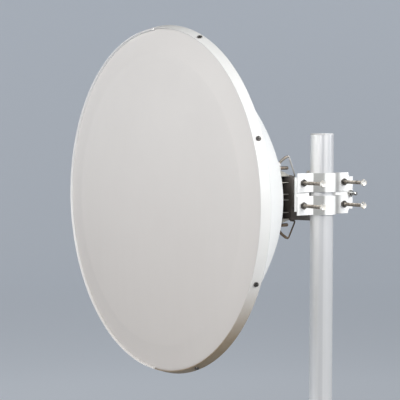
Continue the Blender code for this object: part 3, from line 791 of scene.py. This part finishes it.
def makeLatches():
    onPlate = latch["plateBack"] + latch["lever"] + gap
    for number, (side, rise) in enumerate(corners, 1):
        apex = latch["apexUp"] if rise > 0 else latch["apexDown"]
        rest = (latch["top"] if rise > 0 else latch["bottom"]) + latch["wire"] + gap
        hook = latch["hooks"][side]
        leverPoints = [
            (0.0885, onPlate, apex - 0.0185), (0.0970, onPlate + 0.0010, apex - 0.0105),
            (0.1100, 0.3585, apex - 0.0020), (0.1140, 0.3630, apex),
        ]
        wirePoints = [
            (0.1115, 0.3600, apex - 0.0012), (0.1140, 0.3630, apex), (0.1120, 0.3670, apex - 0.0020),
            (hook + 0.004, 0.4225, rest + 0.0045), (hook - 0.001, 0.4270, rest + 0.0006),
            (hook - 0.006, 0.4285, rest), (hook - 0.020, 0.4285, rest),
        ]
        lever = rounded([inDish(side * x, y, rise * z) for x, y, z in leverPoints], latch["leverBend"])
        wire = rounded([inDish(side * x, y, rise * z) for x, y, z in wirePoints], latch["wireBend"])
        radii = [latch["lever"]] * (len(lever) - 3) + [latch["lever"] * latch["thinned"]] * 3
        # the lower latches take the darker copy: painted shade
        leverSteel = steels["lever" if rise > 0 else "shadedLatch"]
        wireSteel = steels["wire" if rise > 0 else "shadedLatch"]
        node = [f"latch_{number}"]
        piece(f"latchLever{number}", swept(lever, radii), leverSteel, "dish", node)
        bar = swept(wire, [latch["wire"]] * len(wire), 12)
        piece(f"latchWire{number}", bar, wireSteel, "dish", node)


makeLatches()
print("hub made")


# Dish: bowl, band, radome and screws

bowl = {
    "radius": 0.430, "depth": 0.314, "rimY": 0.024, "wall": 0.0025, "neck": 0.075, "neckEnd": 0.3427,
    "curveFrom": 0.4285, "hole": 0.040, "steps": 40, "turns": 192, "crease": 28.0, "flangeFront": (0.4300, 0.0198),
    "flange": (
        (0.4537, 0.0198), (0.4540, 0.0202), (0.4540, 0.0220), (0.4537, 0.0224), (0.4335, 0.0224),
        (0.4315, 0.0229), (0.4298, 0.0239),
    ),
}


def bowlBack(radius):
    return bowl["rimY"] + bowl["depth"] * (1 - (radius / bowl["radius"]) ** 2)


def bowlFront(radius):  # under the wall, square to the back face
    steepness = 2 * bowl["depth"] * radius / bowl["radius"] ** 2
    length = math.hypot(steepness, 1.0)
    return radius - bowl["wall"] * steepness / length, bowlBack(radius) - bowl["wall"] / length


def makeBowl():
    first, last, end, wall = bowl["curveFrom"], bowl["neck"], bowl["neckEnd"], bowl["wall"]
    radii = [first + (last - first) * step / bowl["steps"] for step in range(bowl["steps"] + 1)]
    outline = [*bowl["flange"], *((radius, bowlBack(radius)) for radius in radii)]
    outline += [
        (last, end), (bowl["hole"], end), (bowl["hole"], end - wall), (last - wall, end - wall),
        (last - wall, bowlFront(last)[1]),
    ]
    outline += [bowlFront(radius) for radius in reversed(radii[:-1])] + [bowl["flangeFront"]]
    work = moved(spun(outline, bowl["turns"]), dishPlace)
    piece("reflectorBowl", work, bowlFinish, "dish", ["reflector_bowl"], crease=bowl["crease"])


makeBowl()

band = {
    "flare": 0.357, "radius": 0.450, "sheet": 0.0020, "gapDegrees": 0.02, "edge": 0.00045, "steps": 96,
    "profile": (
        (0.4577, 0.0215), (0.4574, 0.0232), (0.4566, 0.0242), (0.4552, 0.0248), (0.4440, 0.0248),
        (0.4440, 0.0228), (0.4545, 0.0228), (0.4555, 0.0213),
    ),
    "fold": ((0.44875, 0.0022), (0.4446, 0.0012), (0.4440, 0.0008)),  # far half, over the radome's edge
}
bandHalves = (  # name, node, front edge, start in degrees, fold, finish
    ("rimBandNear", "rim_band_near", -0.0010, -90.0, (), bandPaint),
    ("rimBandFar", "rim_band_far", -0.0050, 90.0, band["fold"], farBandLitPaint),
)


def makeBand(name, node, front, start, fold, material):
    frontRadius = band["radius"] + front * band["flare"]
    outline = [(frontRadius, front), *band["profile"], *fold, (frontRadius - band["sheet"], front)]
    seam = band["gapDegrees"]
    work = spun(outline, band["steps"], -start - 180.0 + seam, 180.0 - 2 * seam)
    piece(name, moved(work, dishPlace), material, "dish", [node], band["edge"])


for half in bandHalves:
    makeBand(*half)

radome = {
    "rise": 0.0160, "shoulder": 0.0062, "domeRadius": 0.380, "wall": 0.0026, "steps": 30, "turns": 192,
    "crease": 40.0,
    "ring": (  # outside, round the edge and back along the inside
        (0.3842, -0.0057), (0.3880, -0.0050), (0.4140, -0.0022), (0.4400, 0.0006), (0.4450, 0.0012),
        (0.4474, 0.0020), (0.4487, 0.0030), (0.4494, 0.0042), (0.4545, 0.0194), (0.4519, 0.0194),
        (0.4466, 0.0050), (0.4450, 0.0039), (0.4400, 0.0032), (0.3880, -0.0024),
    ),
}


def domeY(radius):
    share = radius / radome["domeRadius"]
    return -radome["rise"] + (radome["rise"] - radome["shoulder"]) * share * share


def makeRadome():
    radii = [radome["domeRadius"] * step / radome["steps"] for step in range(radome["steps"] + 1)]
    outline = [(radius, domeY(radius)) for radius in radii]
    outline += radome["ring"]
    outline += [(radius, domeY(radius) + radome["wall"]) for radius in reversed(radii)]
    work = moved(spun(outline, radome["turns"], closed=False), dishPlace)
    piece("radomeShell", work, radomePlastic, "dish", ["radome"], crease=radome["crease"])


makeRadome()

screw = {
    "along": 0.0110, "head": 0.0062, "rise": 0.0036, "slot": 0.0008, "shank": 0.0029, "length": 0.0080,
    "degrees": (65.2, 20.8, -23.3, -67.0, -112.5, -158.0, 156.5, 111.0), "slotTurn": 0.7, "sides": 32,
    "base": ((0.96, 0.0), (1.0, 0.34)), "top": ((1.0, 0.30), (0.99, 0.55), (0.90, 0.80), (0.70, 0.96), (0.30, 1.0)),
}


def headRings(shares):  # shares of the head's radius and of its rise
    return [(screw["head"] * across, screw["rise"] * up) for across, up in shares]


def halfHead(direction):  # one side of a slotted pan head
    work = tower(headRings(screw["top"]), sides=screw["sides"])
    bmesh.ops.bisect_plane(
        work, geom=work.verts[:] + work.edges[:] + work.faces[:], dist=0.00001,
        plane_co=(direction * screw["slot"], 0.0, 0.0), plane_no=(-direction, 0.0, 0.0), clear_outer=True,
    )
    bmesh.ops.holes_fill(work, edges=openEdges(work))
    return work


def makeScrews():
    flare = math.atan(band["flare"])
    reach = band["radius"] + screw["along"] * band["flare"]
    shank = [(screw["shank"], -screw["length"]), (screw["shank"], 0.0)]
    for number, degrees in enumerate(screw["degrees"], 1):
        angle = math.radians(degrees)
        outward = Vector((math.cos(angle), 0.0, math.sin(angle)))
        across = Vector((-math.sin(angle), 0.0, math.cos(angle)))
        direction = outward * math.cos(flare) - alongY * math.sin(flare)
        seat = dishCentre + outward * reach + alongY * screw["along"]
        base = tower(shank + headRings(screw["base"]), sides=screw["sides"])
        place = facing(seat + direction * gap, direction, across)
        place = place @ Matrix.Rotation(screw["slotTurn"] * number, 4, "Z")
        work = moved(joined(base, halfHead(1), halfHead(-1)), place)
        piece(f"rimScrew{number}", work, steels["screw"], "dish", [f"rim_screw_{number}"])


makeScrews()
print("dish made")


# Studio: pale floor that curves up all round, soft lights and the camera

studio = {
    "flat": 10.0, "curve": 4.0, "curveSteps": 12, "wall": 5.0, "turns": 96, "nearPaper": (0.36, 0.355, 0.35),
    "farPaper": (0.50, 0.515, 0.535), "wash": (0.265, 0.29, 0.325), "washStart": 0.3, "washFull": 4.8,
    "world": (0.86, 0.92, 1.0), "worldPower": 0.04,
}


def makeFloor():
    flat, curve = studio["flat"], studio["curve"]
    outline = [(0.0, 0.0), (flat, 0.0)]
    for step in range(1, studio["curveSteps"] + 1):
        angle = math.radians(90 * step / studio["curveSteps"])
        outline.append((flat + curve * math.sin(angle), curve * (1 - math.cos(angle))))
    outline.append((flat + curve, studio["wall"]))
    work = spun(outline, studio["turns"], closed=False)
    for face in work.faces:
        face.normal_flip()
    mesh = bpy.data.meshes.new("studioFloor")
    work.to_mesh(mesh)
    work.free()
    mesh.shade_smooth()
    recipe = Recipe("studioPaper", Roughness=0.9, Specular_IOR_Level=0.1, Emission_Strength=1.0)
    centreDistance = recipe.vector("DISTANCE", (0.0, 0.0, 0.0))
    reach = recipe.between(centreDistance, studio["washStart"], studio["washFull"])
    shade = recipe.mixed(reach, studio["nearPaper"], studio["farPaper"])
    wash = recipe.mixed(reach, (0.0, 0.0, 0.0), studio["wash"])  # the far paper is lit on its own
    recipe.feed(recipe.shader.inputs["Emission Color"], wash)
    mesh.materials.append(recipe.finish(shade))
    floor = bpy.data.objects.new("studioFloor", mesh)
    bpy.context.scene.collection.objects.link(floor)


lamps = {"aim": (-0.1, -0.3, 1.5), "distance": 6.0, "radius": 1.8, "cone": 75.0}
lights = {  # degrees round from +X, degrees up, watts, tint
    "keyLight": (6.0, 25.0, 1080.0, (1.0, 0.98, 0.955)),
    "sideLight": (52.0, 20.0, 430.0, (0.97, 0.985, 1.0)),
    "upperLight": (30.0, 52.0, 400.0, (0.86, 0.95, 1.0)),
    "frontLight": (-108.0, 20.0, 590.0, (1.0, 0.965, 0.955)),
    "nearLight": (-54.0, 20.0, 790.0, (1.0, 0.98, 0.97)),
}


def addLight(name, turnDegrees, liftDegrees, power, tint):
    turn = math.radians(turnDegrees)
    lift = math.radians(liftDegrees)
    away = Vector((math.cos(turn) * math.cos(lift), math.sin(turn) * math.cos(lift), math.sin(lift)))
    lamp = bpy.data.lights.new(name, "SPOT")
    lamp.shadow_soft_size = lamps["radius"]
    lamp.spot_size = math.radians(lamps["cone"])
    lamp.spot_blend = 1.0
    lamp.energy = power
    lamp.color = tint
    item = bpy.data.objects.new(name, lamp)
    item.location = Vector(lamps["aim"]) + away * lamps["distance"]
    item.rotation_euler = (-away).to_track_quat("-Z", "Y").to_euler()
    item.visible_camera = False
    bpy.context.scene.collection.objects.link(item)


def addWorld():
    world = bpy.data.worlds.new("studioWorld")
    bpy.context.scene.world = world
    world.use_nodes = True
    air = world.node_tree.nodes["Background"]
    air.inputs["Color"].default_value = (*studio["world"], 1.0)
    air.inputs["Strength"].default_value = studio["worldPower"]


view = {
    "place": (2.2506, -2.0124, 1.6569), "tilt": 3.10, "turn": 54.52, "lens": 99.0, "sensor": 36.0,
    "farthest": 100.0,
}


def addCamera():
    camera = bpy.data.cameras.new("photoCamera")
    camera.lens = view["lens"]
    camera.sensor_width = view["sensor"]
    camera.clip_end = view["farthest"]
    item = bpy.data.objects.new("photoCamera", camera)
    item.location = view["place"]
    item.rotation_euler = (math.radians(90 - view["tilt"]), 0.0, math.radians(view["turn"]))
    bpy.context.scene.collection.objects.link(item)
    bpy.context.scene.camera = item


makeFloor()
for name, values in lights.items():
    addLight(name, *values)
addWorld()
addCamera()
bpy.context.scene.view_settings.view_transform = "Standard"

print("scene ready")
